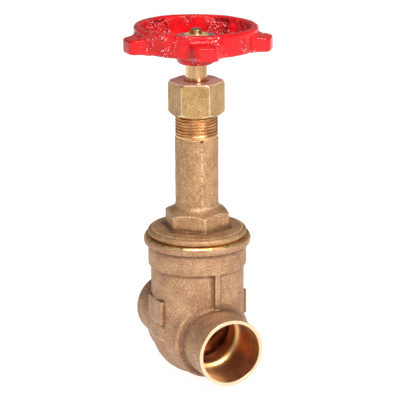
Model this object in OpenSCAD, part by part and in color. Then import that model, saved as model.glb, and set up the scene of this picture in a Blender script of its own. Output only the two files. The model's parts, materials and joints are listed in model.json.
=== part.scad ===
// Rising-stem gate valve with cup ends for copper tube.
// Millimetres. Origin: where the pipe's centreline crosses the stem's axis.
// +X is the flow axis, towards the outlet. +Z is the stem axis, towards the handwheel.
// The valve is drawn shut.

/* [Pipe ends] */
// Bore of each cup, for a tube 28.575 mm across
cup_bore_d = 28.7; // [28.6:0.05:28.9]
// Depth of each cup
cup_depth = 23.2; // [20:0.1:24]
// Distance between the two end faces
end_to_end = 76.4; // [76:0.1:80]
// Outside of each cup
cup_outer_d = 32.2; // [31.5:0.1:33]
// Waterway between the cups
port_d = 25.4; // [24:0.1:26]

/* [Body] */
// Outside radius of the upright barrel
belly_r = 22.2; // [22:0.1:23]
// Radius of the round bottom
bottom_r = 22; // [21.6:0.1:22.2]
// Radius of the boss that each cup grows from
boss_r = 19.5; // [18.5:0.1:20]
// Distance from the stem's axis to the face of that boss
boss_x = 18; // [17:0.1:19]
// Wall of the barrel's round cavity
cavity_r = 18; // [17.8:0.1:18.4]
// Outside radius of the collar round the bonnet thread
collar_r = 23.4; // [23:0.1:24]
// Lower edge of the collar
collar_z = 33.2; // [32:0.1:34]
// Outside radius of the rim at the top
rim_r = 25.45; // [25:0.05:26]
// Top face of the rim
rim_z = 47.8; // [47:0.1:49]
// Height of the rim
rim_h = 4; // [3:0.1:5]
// Bore for the bonnet's thread
bonnet_thread_r = 20.5; // [20:0.1:21]

/* [Bonnet] */
// Outside radius of the flange
flange_r = 23.45; // [23:0.05:24]
// Height of the flange's edge
flange_h = 3.2; // [2.5:0.1:4]
// Wrench hexagon, across flats
bonnet_hex_af = 27.3; // [26:0.1:28]
// Underside of the hexagon
bonnet_hex_z = 52.3; // [52:0.1:53]
// Height of the hexagon
bonnet_hex_h = 6.8; // [6:0.1:8]
// Outside radius of the cast neck
neck_r = 10.15; // [10.1:0.05:11]
// Crest radius of the thread for the packing nut
neck_thread_r = 10; // [9.8:0.05:10.1]
// Pitch of that thread
neck_pitch = 1.41; // [1.2:0.01:1.6]
// Lowest turn of that thread
neck_thread_z = 95.5; // [95:0.1:97]
// Top of the neck
neck_top_z = 111; // [110:0.1:111.2]
// Bore of the packing chamber
chamber_r = 7.6; // [7.4:0.1:7.8]
// Floor of the packing chamber
chamber_z = 94.9; // [94.5:0.1:95.2]

/* [Stem] */
// Radius of the stem
stem_r = 5.1; // [5:0.05:5.2]
// Lead of the stem's thread
stem_lead = 3.175; // [3:0.005:3.3]
// Depth of the stem's thread
stem_thread_depth = 1.1; // [0.8:0.1:1.2]
// Turns of the handwheel from shut to open
stem_turns = 9; // [8:0.5:9]
// Top of the stem
stem_top_z = 146.3; // [145.5:0.1:147]
// Radius of the threaded top end
stem_end_r = 2.8; // [2.6:0.1:3]

/* [Gate] */
// Radius of the gate's two faces
gate_r = 15; // [14.6:0.1:15.2]
// Thickness of the gate at the centreline
gate_t = 13; // [12:0.1:13.4]
// Slope of each face
gate_slope = 5; // [4:0.5:6]

/* [Packing] */
// Height of one packing ring
ring_h = 3.2; // [3:0.1:3.2]
// Number of packing rings
ring_count = 4; // [4:1:4]
// Depth that the gland follower can press the packing
take_up = 2.8; // [2:0.1:2.8]
// Packing nut, across flats
nut_af = 23; // [22.5:0.1:23.4]
// Top face of the packing nut
nut_top_z = 122.1; // [121:0.1:122.5]
// Underside of the packing nut
nut_bottom_z = 105.8; // [105:0.1:106.5]

/* [Handwheel] */
// Outside radius of the rim
wheel_r = 28.85; // [28:0.05:30]
// Width of the rim's band, across the radius
wheel_band = 3.85; // [3:0.05:4.5]
// Top of the rim
wheel_top_z = 148.1; // [147:0.1:149]
// Height of the rim
wheel_h = 10.7; // [10:0.1:11]
// Number of finger lugs, each with a spoke
lug_count = 5; // [3:1:6]
// Radius to the tips of the lugs
lug_tip_r = 35.6; // [34:0.1:36]
// Width of a lug
lug_w = 12.3; // [10:0.1:13]
// Direction of the first lug, from +X
lug_angle = -15.4; // [-36:0.1:36]
// Radius of the hub
hub_r = 9; // [8.2:0.1:9.2]
// Underside of the hub
hub_bottom_z = 130; // [129.5:0.1:131]
// Top of the hub, under the identification plate
hub_top_z = 140.4; // [140:0.1:141]
// Radius of the identification plate
plate_r = 9.3; // [9:0.1:9.6]
// Wheel nut, across flats
wheel_nut_af = 10; // [9.5:0.1:10.5]

/* [Hidden] */
$fn = 96;

// Clearances
turn_gap = 0.08;            // round pieces that turn or slide in one another
seat_gap = 0.06;            // gate face to seat
spigot_gap = 0.05;          // bonnet spigot to body bore
slack = 0.3;                // pieces that pass each other loosely

// Pipe ends
cup_end_x = end_to_end / 2;
cup_floor_x = cup_end_x - cup_depth;
boss_edge = 1.6;            // slope at the boss's edge
boss_lip = 0.4;             // the boss's face leans out this far towards the cup
fillet = 2.4;               // slope between the boss's face and the cup
sweep_through = 1;          // how far a cutter passes the face it opens

// Body
barrel_floor_z = 31;        // floor of the bonnet's thread
slab_half_t = 8.5;          // half the gap between the two seat walls, at the centreline
seat_r = 15.6;
guide_w = 3;
guide_depth = 2.2;
guide_top_z = 30.5;
rib_w = 2.6;
rib_r = 23.2;
pad_w = 16.5;
pad_bottom_z = 5.9;
pad_top_z = 18.4;
pad_face_y = 22.3;
parting_chamfer = 1.2;
rim_chamfer = 0.8;

// Bonnet
spigot_bottom_z = 32.5;
spigot_inner_r = 17.2;
spigot_inner_top_z = 44;
bell_r = 11;                // round room over the gate's head
bell_bottom_z = 47.5;
bell_top_z = 53.4;
stem_bore_z = 58;
flange_top_z = rim_z + flange_h;
flange_chamfer = 0.6;
flange_bead_w = 1.6;        // the bead round the flange's edge
cone_edge_rise = 0.5;       // the cone from the bead up to the hexagon
cone_rise = 0.4;
bonnet_hex_top_z = bonnet_hex_z + bonnet_hex_h;
hex_crown = 1.7;            // the hexagon's top slopes up to the neck
hex_corner_drop = 0.6;      // and its corners are rounded off this far
hex_corner_w = 1.6;
bury = 1;                   // how far a shape starts inside the one under it
neck_root_r = 12.8;
neck_root_h = 3;
crown_inner_r = 11.3;       // the crown is flat inside this radius
thread_depth = 0.85;

// Thread form, as shares of the pitch: the crest starts and ends here, and the root starts last
crest_start = 0.3;
crest_end = 0.5;
root_start = 0.8;

// Gate and its T-slot
slope_per_mm = tan(gate_slope);
gate_lift = stem_lead * stem_turns;
guide_slot_w = guide_w + 2 * slack;
head_floor_z = 15;
head_room_top_z = 18.8;
gate_top_z = 24;
gate_head_r = 10.2;
gate_head_t = 13;
head_r = 5.2;
head_h = 3.2;
head_neck_r = 3.6;

// Stem
stem_thread_bottom_z = 26.5;
open_gap = 0.2;             // the open stem's thread ends this far under the packing
stem_thread_top_z = chamber_z - gate_lift - open_gap;
stem_end_chamfer_h = 0.5;
stem_end_chamfer_w = 0.6;
shank_w = 7.2;
shank_gap = 0.03;
face_gap = 0.05;            // flat faces that press on each other across two bodies

// Packing, gland follower and packing nut
ring_top_z = chamber_z + ring_count * ring_h;
press_gap = 0.4;            // flange to neck when the packing is fully pressed
follower_flange_z = neck_top_z + take_up + press_gap;
follower_flange_h = 2.4;
follower_flange_r = 8.8;
follower_sleeve_r = chamber_r - turn_gap;
nut_ceiling_z = follower_flange_z + follower_flange_h + face_gap;
nut_bore_r = neck_thread_r + turn_gap;
nut_hole_r = 5.6;
nut_corner_r = nut_af / 2 / cos(30);
nut_corner_angle = 3.7;
nut_chamfer_r = nut_corner_r + 0.3;     // the chamfers start just outside the corners
nut_foot_w = 0.5;           // flat ring left at the foot
nut_foot_h = 1.8;
nut_top_w = 1;              // chamfer at the top
nut_top_h = 1.4;
bonnet_corner_angle = -10.3;

// Handwheel
wheel_bottom_z = wheel_top_z - wheel_h;
wheel_inner_r = wheel_r - wheel_band;
wheel_edge = 0.7;           // soft lower edge of the rim
wheel_top_edge = 0.5;
lug_h = 6.5;                // lugs stand on the level of the rim's lower edge
lug_root = 1;               // lugs and spokes reach this far into the rim
lug_corner_r = 2.5;
hub_edge = 1.6;
spoke_w = 7;
spoke_root = 2;             // spokes reach this far into the hub
spoke_foot_rise = 2.5;      // a spoke meets the hub between these two levels
spoke_top_drop = 3.2;
spoke_rim_rise = 0.3;       // and the rim between these two
spoke_rim_h = 3.7;
pocket_w = 7.5;
pocket_depth = 2.4;         // hollow behind each lug, inside the rim
pocket_bottom_z = 140.4;
pocket_top_z = 145.8;
plate_t = 0.6;
plate_rise = 2;             // the plate is dished: its edge stands this far over its middle
plate_flat_r = 6;
plate_lean = 0.2;
wheel_nut_h = 3;
wheel_nut_chamfer_h = 0.5;
wheel_nut_chamfer_r = wheel_nut_af / 2 + 0.7;
wheel_nut_face_r = wheel_nut_af / 2 - 0.1;

// Lays a shape that stands on +Z along +X
module along_x() {
    rotate([0, 90, 0]) children();
}

// Hexagonal bar with one corner at the given angle
module hex_bar(af, h, corner_angle) {
    rotate([0, 0, corner_angle]) cylinder(h = h, r = af / 2 / cos(30), $fn = 6);
}

// Turned thread: crests of a given pitch round a core, from z0 upwards
module thread_rings(crest_r, depth, pitch, z0, z1) {
    turns = floor((z1 - z0) / pitch);
    rotate_extrude()
        polygon(concat(
            [[0, z0]],
            [for (i = [0 : turns - 1], p = [0, crest_start, crest_end, root_start])
                [crest_r - (p == crest_start || p == crest_end ? 0 : depth), z0 + (i + p) * pitch]],
            [[crest_r - depth, z1], [0, z1]]
        ));
}

// Bar with the gate's taper: its two sides lean outwards going up
module taper_bar(half_t, bottom_z, top_z, width) {
    rotate([90, 0, 0])
        linear_extrude(width, center = true)
            polygon([
                [half_t + bottom_z * slope_per_mm, bottom_z],
                [half_t + top_z * slope_per_mm, top_z],
                [-half_t - top_z * slope_per_mm, top_z],
                [-half_t - bottom_z * slope_per_mm, bottom_z]
            ]);
}

// The casting's outside, before it is bored
module body_outside() {
    sphere(r = bottom_r);
    cylinder(h = collar_z, r = belly_r);
    rotate_extrude()
        polygon([
            [0, collar_z - parting_chamfer],
            [belly_r, collar_z - parting_chamfer],
            [collar_r, collar_z],
            [collar_r, rim_z - rim_h - parting_chamfer],
            [rim_r, rim_z - rim_h],
            [rim_r, rim_z - rim_chamfer],
            [rim_r - rim_chamfer, rim_z],
            [0, rim_z]
        ]);
    translate([-cup_end_x, 0, 0]) along_x() cylinder(h = end_to_end, d = cup_outer_d);
    for (side = [0, 1]) {
        mirror([side, 0, 0])
            along_x()
                rotate_extrude()
                    polygon([
                        [0, 0],
                        [boss_r, 0],
                        [boss_r, boss_x - boss_edge],
                        [boss_r - boss_edge, boss_x],
                        [cup_outer_d / 2 + fillet / 3, boss_x + boss_lip],
                        [cup_outer_d / 2, boss_x + fillet],
                        [0, boss_x + fillet]
                    ]);
        mirror([side, 0, 0])
            translate([0, -rib_w / 2, 0]) cube([rib_r, rib_w, collar_z]);
        mirror([0, side, 0])
            translate([-pad_w / 2, 0, pad_bottom_z])
                cube([pad_w, pad_face_y, pad_top_z - pad_bottom_z]);
    }
}

// The room the gate moves in: round above, narrowed to a slab between the seats
module gate_room() {
    difference() {
        intersection() {
            taper_bar(slab_half_t, -cavity_r, barrel_floor_z, 2 * cavity_r);
            union() {
                sphere(r = cavity_r);
                cylinder(h = barrel_floor_z, r = cavity_r);
            }
        }
        difference() {
            translate([-cup_floor_x, 0, 0]) along_x() cylinder(h = 2 * cup_floor_x, r = seat_r);
            taper_bar(gate_t / 2 + seat_gap, -2 * seat_r, 2 * seat_r, 4 * seat_r);
        }
        for (side = [-1, 1])
            translate([-guide_w / 2, side * (cavity_r - guide_depth / 2) - guide_depth / 2, 0])
                cube([guide_w, guide_depth, guide_top_z]);
    }
    translate([0, 0, cavity_r])
        cylinder(h = barrel_floor_z - cavity_r + sweep_through, r = cavity_r - guide_depth);
}

module body() {
    color("peru")
        difference() {
            body_outside();
            gate_room();
            translate([0, 0, barrel_floor_z])
                cylinder(h = rim_z - barrel_floor_z + sweep_through, r = bonnet_thread_r + spigot_gap);
            translate([-cup_floor_x - sweep_through, 0, 0])
                along_x() cylinder(h = 2 * (cup_floor_x + sweep_through), d = port_d);
            for (side = [0, 1])
                mirror([side, 0, 0])
                    translate([cup_floor_x, 0, 0])
                        along_x() cylinder(h = cup_depth + sweep_through, d = cup_bore_d);
        }
}

module bonnet() {
    color("peru")
        difference() {
            union() {
                rotate_extrude()
                    polygon([
                        [0, spigot_bottom_z],
                        [bonnet_thread_r, spigot_bottom_z],
                        [bonnet_thread_r, rim_z],
                        [flange_r, rim_z],
                        [flange_r, flange_top_z - flange_chamfer],
                        [flange_r - flange_chamfer, flange_top_z],
                        [flange_r - flange_bead_w, flange_top_z + cone_edge_rise],
                        [0, bonnet_hex_z + cone_rise]
                    ]);
                intersection() {
                    translate([0, 0, bonnet_hex_z - bury])
                        hex_bar(bonnet_hex_af, bonnet_hex_h + hex_crown + bury, bonnet_corner_angle);
                    rotate_extrude()
                        polygon([
                            [0, bonnet_hex_z - 2 * bury],
                            [bonnet_hex_af, bonnet_hex_z - 2 * bury],
                            [bonnet_hex_af, bonnet_hex_top_z - hex_corner_drop],
                            [bonnet_hex_af / 2 + hex_corner_w, bonnet_hex_top_z],
                            [crown_inner_r, bonnet_hex_top_z + hex_crown],
                            [0, bonnet_hex_top_z + hex_crown]
                        ]);
                }
                translate([0, 0, bonnet_hex_top_z - bury])
                    cylinder(h = neck_root_h + bury, r1 = neck_root_r, r2 = neck_r);
                translate([0, 0, bonnet_hex_top_z - bury])
                    cylinder(h = neck_thread_z - bonnet_hex_top_z + bury, r = neck_r);
                thread_rings(neck_thread_r, thread_depth, neck_pitch, neck_thread_z, neck_top_z);
            }
            rotate_extrude()
                polygon([
                    [0, spigot_bottom_z - sweep_through],
                    [spigot_inner_r, spigot_bottom_z - sweep_through],
                    [spigot_inner_r, spigot_inner_top_z],
                    [bell_r, bell_bottom_z],
                    [bell_r, bell_top_z],
                    [stem_r + turn_gap, stem_bore_z],
                    [0, stem_bore_z]
                ]);
            translate([0, 0, stem_bore_z - sweep_through])
                cylinder(h = neck_top_z - stem_bore_z + 2 * sweep_through, r = stem_r + turn_gap);
            translate([0, 0, chamber_z])
                cylinder(h = neck_top_z - chamber_z + sweep_through, r = chamber_r);
        }
}

module wedge() {
    color("sandybrown")
        difference() {
            union() {
                intersection() {
                    translate([-gate_t, 0, 0]) along_x() cylinder(h = 2 * gate_t, r = gate_r);
                    taper_bar(gate_t / 2, -gate_r, gate_r, 2 * gate_r + sweep_through);
                }
                intersection() {
                    translate([0, 0, gate_r / 2])
                        cylinder(h = gate_top_z - gate_r / 2, r = gate_head_r);
                    translate([-gate_head_t / 2, -gate_head_r, 0])
                        cube([gate_head_t, 2 * gate_head_r, gate_top_z]);
                }
            }
            for (side = [-1, 1])
                translate([-guide_slot_w / 2, side * gate_r - guide_depth / 2, -gate_r])
                    cube([guide_slot_w, guide_depth, 2 * gate_r + gate_top_z]);
            translate([-gate_r, -head_r - slack, head_floor_z])
                cube([2 * gate_r, 2 * (head_r + slack), head_room_top_z - head_floor_z]);
            translate([-gate_r, -head_neck_r - slack, head_floor_z])
                cube([2 * gate_r, 2 * (head_neck_r + slack), gate_top_z]);
        }
}

module stem() {
    color("goldenrod") {
        translate([0, 0, head_floor_z + slack]) cylinder(h = head_h, r = head_r);
        translate([0, 0, head_floor_z + slack])
            cylinder(h = gate_top_z - head_floor_z + 2 * slack, r = head_neck_r);
        translate([0, 0, gate_top_z + slack])
            cylinder(h = stem_thread_bottom_z - gate_top_z - slack, r1 = head_neck_r, r2 = stem_r);
        thread_rings(stem_r, stem_thread_depth, stem_lead, stem_thread_bottom_z, stem_thread_top_z);
        translate([0, 0, stem_thread_top_z])
            cylinder(h = hub_bottom_z - stem_thread_top_z, r = stem_r);
        translate([-shank_w / 2, -shank_w / 2, hub_bottom_z])
            cube([shank_w, shank_w, hub_top_z - hub_bottom_z - slack]);
        translate([0, 0, hub_bottom_z])
            cylinder(h = stem_top_z - hub_bottom_z - stem_end_chamfer_h, r = stem_end_r);
        translate([0, 0, stem_top_z - stem_end_chamfer_h])
            cylinder(h = stem_end_chamfer_h, r1 = stem_end_r, r2 = stem_end_r - stem_end_chamfer_w);
    }
}

// One ring of braided packing, counted from the chamber's floor
module packing_ring(index) {
    color("dimgray")
        translate([0, 0, chamber_z + (index - 1) * ring_h])
            difference() {
                cylinder(h = ring_h, r = chamber_r);
                translate([0, 0, -sweep_through])
                    cylinder(h = ring_h + 2 * sweep_through, r = stem_r + turn_gap);
            }
}

module gland_follower() {
    color("gold")
        difference() {
            union() {
                translate([0, 0, ring_top_z + face_gap])
                    cylinder(h = follower_flange_z - ring_top_z, r = follower_sleeve_r);
                translate([0, 0, follower_flange_z]) cylinder(h = follower_flange_h, r = follower_flange_r);
            }
            translate([0, 0, ring_top_z - sweep_through])
                cylinder(h = follower_flange_z + follower_flange_h - ring_top_z + 2 * sweep_through,
                    r = stem_r + turn_gap);
        }
}

module packing_nut() {
    color("darkgoldenrod")
        difference() {
            intersection() {
                translate([0, 0, nut_bottom_z]) hex_bar(nut_af, nut_top_z - nut_bottom_z, nut_corner_angle);
                rotate_extrude()
                    polygon([
                        [0, nut_bottom_z],
                        [nut_bore_r + nut_foot_w, nut_bottom_z],
                        [nut_chamfer_r, nut_bottom_z + nut_foot_h],
                        [nut_chamfer_r, nut_top_z - nut_top_h],
                        [nut_corner_r - nut_top_w, nut_top_z],
                        [0, nut_top_z]
                    ]);
            }
            translate([0, 0, nut_bottom_z - sweep_through])
                cylinder(h = nut_ceiling_z - nut_bottom_z + sweep_through, r = nut_bore_r);
            translate([0, 0, nut_bottom_z])
                cylinder(h = nut_top_z - nut_bottom_z + sweep_through, r = nut_hole_r);
        }
}

// Plan of one lug: a tongue with two round corners, pointing along +X
module lug_plan() {
    tip = lug_tip_r - lug_corner_r;
    side = lug_w / 2 - lug_corner_r;
    for (s = [-1, 1])
        translate([tip, s * side]) circle(r = lug_corner_r);
    translate([wheel_inner_r + lug_root, -lug_w / 2]) square([tip - wheel_inner_r - lug_root, lug_w]);
    translate([tip - lug_root, -side]) square([lug_corner_r + lug_root, 2 * side]);
}

// Side view of one spoke, from the hub out and up to the rim
module spoke_side() {
    polygon([
        [hub_r - spoke_root, hub_bottom_z + spoke_foot_rise],
        [wheel_inner_r + lug_root, wheel_bottom_z + spoke_rim_rise],
        [wheel_inner_r + lug_root, wheel_bottom_z + spoke_rim_rise + spoke_rim_h],
        [hub_r - spoke_root, hub_top_z - spoke_top_drop]
    ]);
}

module handwheel() {
    color("red")
        difference() {
            union() {
                rotate_extrude()
                    polygon([
                        [wheel_inner_r, wheel_bottom_z],
                        [wheel_r - wheel_edge, wheel_bottom_z],
                        [wheel_r, wheel_bottom_z + wheel_edge],
                        [wheel_r, wheel_top_z - wheel_top_edge],
                        [wheel_r - wheel_top_edge, wheel_top_z],
                        [wheel_inner_r + wheel_top_edge, wheel_top_z],
                        [wheel_inner_r, wheel_top_z - wheel_top_edge]
                    ]);
                translate([0, 0, hub_bottom_z]) cylinder(h = hub_edge, r1 = hub_r - hub_edge, r2 = hub_r);
                translate([0, 0, hub_bottom_z + hub_edge])
                    cylinder(h = hub_top_z - hub_bottom_z - hub_edge, r = hub_r);
                for (i = [0 : lug_count - 1])
                    rotate([0, 0, lug_angle + i * 360 / lug_count]) {
                        translate([0, 0, wheel_bottom_z]) linear_extrude(lug_h) lug_plan();
                        rotate([90, 0, 0]) linear_extrude(spoke_w, center = true) spoke_side();
                    }
            }
            for (i = [0 : lug_count - 1])
                rotate([0, 0, lug_angle + i * 360 / lug_count])
                    translate([wheel_inner_r - sweep_through, -pocket_w / 2, pocket_bottom_z])
                        cube([pocket_depth + sweep_through, pocket_w, pocket_top_z - pocket_bottom_z]);
            translate([-shank_w / 2 - shank_gap, -shank_w / 2 - shank_gap, hub_bottom_z - sweep_through])
                cube([
                    shank_w + 2 * shank_gap,
                    shank_w + 2 * shank_gap,
                    hub_top_z - hub_bottom_z + 2 * sweep_through
                ]);
        }
}

module identification_plate() {
    color("silver")
        rotate_extrude()
            polygon([
                [stem_end_r + shank_gap, hub_top_z],
                [plate_flat_r, hub_top_z],
                [plate_r, hub_top_z + plate_rise],
                [plate_r, hub_top_z + plate_rise + plate_t],
                [plate_flat_r - plate_lean, hub_top_z + plate_t],
                [stem_end_r + shank_gap, hub_top_z + plate_t]
            ]);
}

module wheel_nut() {
    color("khaki")
        translate([0, 0, hub_top_z + plate_t])
            difference() {
                intersection() {
                    hex_bar(wheel_nut_af, wheel_nut_h, 0);
                    union() {
                        cylinder(h = wheel_nut_h - wheel_nut_chamfer_h, r = wheel_nut_af);
                        translate([0, 0, wheel_nut_h - wheel_nut_chamfer_h])
                            cylinder(
                                h = wheel_nut_chamfer_h,
                                r1 = wheel_nut_chamfer_r,
                                r2 = wheel_nut_face_r
                            );
                    }
                }
                translate([0, 0, -sweep_through])
                    cylinder(h = wheel_nut_h + 2 * sweep_through, r = stem_end_r + shank_gap);
            }
}

body();
bonnet();
wedge();
stem();
packing_ring(1);  // packing_ring_1
packing_ring(2);  // packing_ring_2
packing_ring(3);  // packing_ring_3
packing_ring(4);  // packing_ring_4
gland_follower();
packing_nut();
handwheel();
identification_plate();
wheel_nut();
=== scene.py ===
"""Bronze gate valve with cup ends and a red handwheel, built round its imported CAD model.

Shapes are worked out in millimetres in the valve's own frame: +X along the pipe, +Z up the stem.
Castings and forgings are the zero surface of a distance function, so every corner is a fillet.
Turned pieces are rings of points round their axis, with real helical threads.
"""

import json
import math

import bpy
import numpy as np
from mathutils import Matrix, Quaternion, Vector


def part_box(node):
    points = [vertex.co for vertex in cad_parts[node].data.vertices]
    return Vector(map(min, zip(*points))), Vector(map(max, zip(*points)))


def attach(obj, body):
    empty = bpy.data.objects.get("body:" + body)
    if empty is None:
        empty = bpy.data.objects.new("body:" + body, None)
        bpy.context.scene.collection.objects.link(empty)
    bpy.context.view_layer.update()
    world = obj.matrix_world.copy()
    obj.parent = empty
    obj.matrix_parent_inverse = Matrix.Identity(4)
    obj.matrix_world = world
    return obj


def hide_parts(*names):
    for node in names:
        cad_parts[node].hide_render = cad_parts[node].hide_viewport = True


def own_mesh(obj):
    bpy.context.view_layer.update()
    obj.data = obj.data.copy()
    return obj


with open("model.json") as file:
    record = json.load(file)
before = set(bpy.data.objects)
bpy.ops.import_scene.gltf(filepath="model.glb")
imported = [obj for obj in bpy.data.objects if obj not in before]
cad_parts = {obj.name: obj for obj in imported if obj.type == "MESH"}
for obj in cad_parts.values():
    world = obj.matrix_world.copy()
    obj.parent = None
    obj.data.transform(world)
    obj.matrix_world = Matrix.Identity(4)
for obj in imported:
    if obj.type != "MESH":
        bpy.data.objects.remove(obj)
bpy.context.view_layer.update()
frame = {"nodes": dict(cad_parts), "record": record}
MM = 0.001


# ---------------------------------------------------------------- sizes from the frame

def span(node):
    """Lowest and highest corner of a CAD node, in millimetres."""
    low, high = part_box(node)
    return np.array(low) / MM, np.array(high) / MM


def mount(name):
    return next(m for m in frame["record"]["mounts"] if m["name"] == name)


BODY_LOW, BODY_HIGH = span("body")
BONNET_LOW, BONNET_HIGH = span("bonnet")
NUT_LOW, NUT_HIGH = span("packing_nut")
STEM_LOW, STEM_HIGH = span("stem")
WHEEL_LOW, WHEEL_HIGH = span("handwheel")
PLATE_LOW, PLATE_HIGH = span("identification_plate")
WHEEL_NUT_LOW, WHEEL_NUT_HIGH = span("wheel_nut")
FOLLOWER_LOW, FOLLOWER_HIGH = span("gland_follower")

# Pipe ends
END_X = BODY_HIGH[0]
CUP_R = mount("outlet_socket")["dims"]["r_mm"]
CUP_FLOOR_X = END_X - mount("outlet_socket")["dims"]["length_mm"]
CUP_OUTER_R = CUP_R + 1.75
PORT_R = 12.7
BOSS_R = 19.5
BOSS_X = 18

# Body, and the room that the gate moves in
RIM_Z = BODY_HIGH[2]
RIM_R = BODY_HIGH[1]
RIM_H = 4.0
BELLY_R = 22.2
BOTTOM_R = -BODY_LOW[2]
COLLAR_R = 23.4
COLLAR_Z = 33.2
ROOM_R = 18
ROOM_HALF_T = 8.5
SEAT_R = 15.6
SEAT_X = 6.56
GATE_SLOPE = math.tan(math.radians(5))

# Bonnet
FLANGE_R = BONNET_HIGH[1]
FLANGE_TOP_Z = 51.0
BONNET_FLATS = 27.3
CORNER_ANGLE = math.radians(-10.3)
NECK_R = 10.15
NECK_TOP_Z = BONNET_HIGH[2]
THREAD_Z = 95.5
NECK_THREAD_R = 10.0
NECK_PITCH = 1.41
SPIGOT_R = 20.5
SPIGOT_PITCH = 2.1
CHAMBER_R = 7.6
CHAMBER_Z = 94.9
TURN_GAP = 0.08

# Nuts and stem
NUT_FLATS = 23
NUT_ANGLE = math.radians(3.7)
WHEEL_NUT_FLATS = 10
STEM_R = 5.1
STEM_LEAD = 3.175
LEAD_LOW_Z = 26.5
LEAD_HIGH_Z = 66.1
STEM_END_R = 2.8
SHANK_LOW_Z = WHEEL_LOW[2]
SHANK_HIGH_Z = PLATE_LOW[2] - 0.3

# Handwheel
WHEEL_R = 28.85
WHEEL_BAND = 3.85
WHEEL_H = 10.7
HUB_R = 9
LUG_COUNT = 5
LUG_ANGLE = math.radians(-16.4)
LUG_TIP_R = 35.3
LUG_HALF_W = 6.4
LUG_TAPER = 0.3
LUG_CORNER_R = 2.6
SPOKE_ROOT_R = 7
SPOKE_HALF_W = 3.5
WARP_ANGLE = math.radians(66)
WARP_SLOPE = 0.0075
PAINT_SINK = 0.16

# The castings' meshes: grid cells along a block's side, and rounds of smoothing
BLOCK_CELLS = 8
RELAX_ROUNDS = 2

# Values of the edge attribute where the pale edges, painted as wear and as highlight, start and where they
# are full
BRIGHT_EDGE_RANGE = (0.06, 0.16)


# ---------------------------------------------------------------- distance functions, in mm

def smin(a, b, k):
    """Union of two solids with a fillet of about k."""
    h = np.clip(0.5 + 0.5 * (b - a) / k, 0, 1)
    return b + (a - b) * h - k * h * (1 - h)


def smax(a, b, k):
    """What two solids share, with the edge rounded by about k."""
    return -smin(-a, -b, k)


def slab(a, b, edge):
    """Where two distances are both negative, with a round edge of radius edge."""
    qa, qb = a + edge, b + edge
    outside = np.sqrt(np.maximum(qa, 0) ** 2 + np.maximum(qb, 0) ** 2)
    return outside + np.minimum(np.maximum(qa, qb), 0) - edge


def between(v, low, high):
    return np.abs(v - (low + high) / 2) - (high - low) / 2


def tube(radial, along, radius, low, high, edge):
    """Round bar of a radius between two stations along its axis."""
    return slab(radial - radius, between(along, low, high), edge)


def block(x, y, z, half, edge):
    """Box with round edges, centred on 0."""
    qx, qy, qz = (np.abs(v) - h + edge for v, h in zip((x, y, z), half))
    outside = np.sqrt(sum(np.maximum(q, 0) ** 2 for q in (qx, qy, qz)))
    return outside + np.minimum(np.maximum(np.maximum(qx, qy), qz), 0) - edge


def hexagon(x, y, flats, corner, edge):
    """Distance to a hexagonal bar with one corner at the given angle."""
    d = None
    for i in range(3):
        a = corner + math.radians(30 + 60 * i)
        side = np.abs(x * math.cos(a) + y * math.sin(a)) - flats / 2
        d = side if d is None else smax(d, side, edge)
    return d


def value_noise(p, cell, seed):
    """Smooth noise from -1 to 1 whose features are about cell millimetres across."""
    q = p / cell
    base = np.floor(q).astype(np.int64)
    t = q - base
    t = t * t * (3 - 2 * t)
    total = np.zeros(len(p))
    for corner in range(8):
        step = np.array([corner & 1, corner >> 1 & 1, corner >> 2 & 1])
        i = base + step
        # An integer hash of the corner, spread over 0 to 0xFFFFFFFF
        h = (i[:, 0] * 73856093 ^ i[:, 1] * 19349663 ^ i[:, 2] * 83492791 ^ seed * 2654435761) & 0xFFFFFFFF
        h = (h ^ h >> 15) * 2246822519 & 0xFFFFFFFF
        h = (h ^ h >> 13) * 3266489917 & 0xFFFFFFFF
        h ^= h >> 16
        weight = np.prod(np.where(step, t, 1 - t), axis=1)
        total += weight * (h / 0xFFFFFFFF * 2 - 1)
    return total


# ---------------------------------------------------------------- mesh makers

def make_mesh(name, points, faces, attributes=None):
    """Mesh object from points in mm and an array of quads or triangles."""
    mesh = bpy.data.meshes.new(name)
    faces = np.asarray(faces, np.int32)
    count, sides = faces.shape
    mesh.vertices.add(len(points))
    mesh.vertices.foreach_set("co", (np.asarray(points) * MM).astype(np.float32).ravel())
    mesh.loops.add(faces.size)
    mesh.loops.foreach_set("vertex_index", faces.ravel())
    mesh.polygons.add(count)
    mesh.polygons.foreach_set("loop_start", np.arange(0, faces.size, sides, dtype=np.int32))
    mesh.update(calc_edges=True)
    mesh.validate()
    mesh.shade_smooth()
    for key, values in (attributes or {}).items():
        mesh.attributes.new(key, "FLOAT", "POINT").data.foreach_set("value", values.astype(np.float32))
    obj = bpy.data.objects.new(name, mesh)
    bpy.context.scene.collection.objects.link(obj)
    return obj


def gradient(f, p, e=0.02):
    g = np.empty_like(p)
    for axis in range(3):
        shift = np.zeros(3)
        shift[axis] = e
        g[:, axis] = (f(*(p + shift).T) - f(*(p - shift).T)) / (2 * e)
    return g


def grid_field(f, low, count, step):
    """f on a regular grid, worked out only in the blocks of cells that the surface may cross."""
    size = BLOCK_CELLS
    blocks = [math.ceil(c / size) for c in count]
    centres = np.stack(np.meshgrid(*[np.arange(b) for b in blocks], indexing="ij"), -1).reshape(-1, 3)
    middle = low + step * (centres * size + (size - 1) / 2)
    value = f(*middle.T)
    near = np.abs(value) < step * size * 1.15
    field = np.empty([b * size for b in blocks], np.float32)
    view = field.reshape(blocks[0], size, blocks[1], size, blocks[2], size).transpose(0, 2, 4, 1, 3, 5)
    view[...] = value.reshape(blocks)[:, :, :, None, None, None]
    inner = np.stack(np.meshgrid(*[np.arange(size)] * 3, indexing="ij"), -1).reshape(-1, 3)
    for part in np.array_split(centres[near], max(1, near.sum() // 1500)):
        p = low + step * (part[:, None, :] * size + inner[None])
        local = f(p[..., 0], p[..., 1], p[..., 2])
        view[part[:, 0], part[:, 1], part[:, 2]] = local.reshape(-1, size, size, size)
    return field


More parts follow.
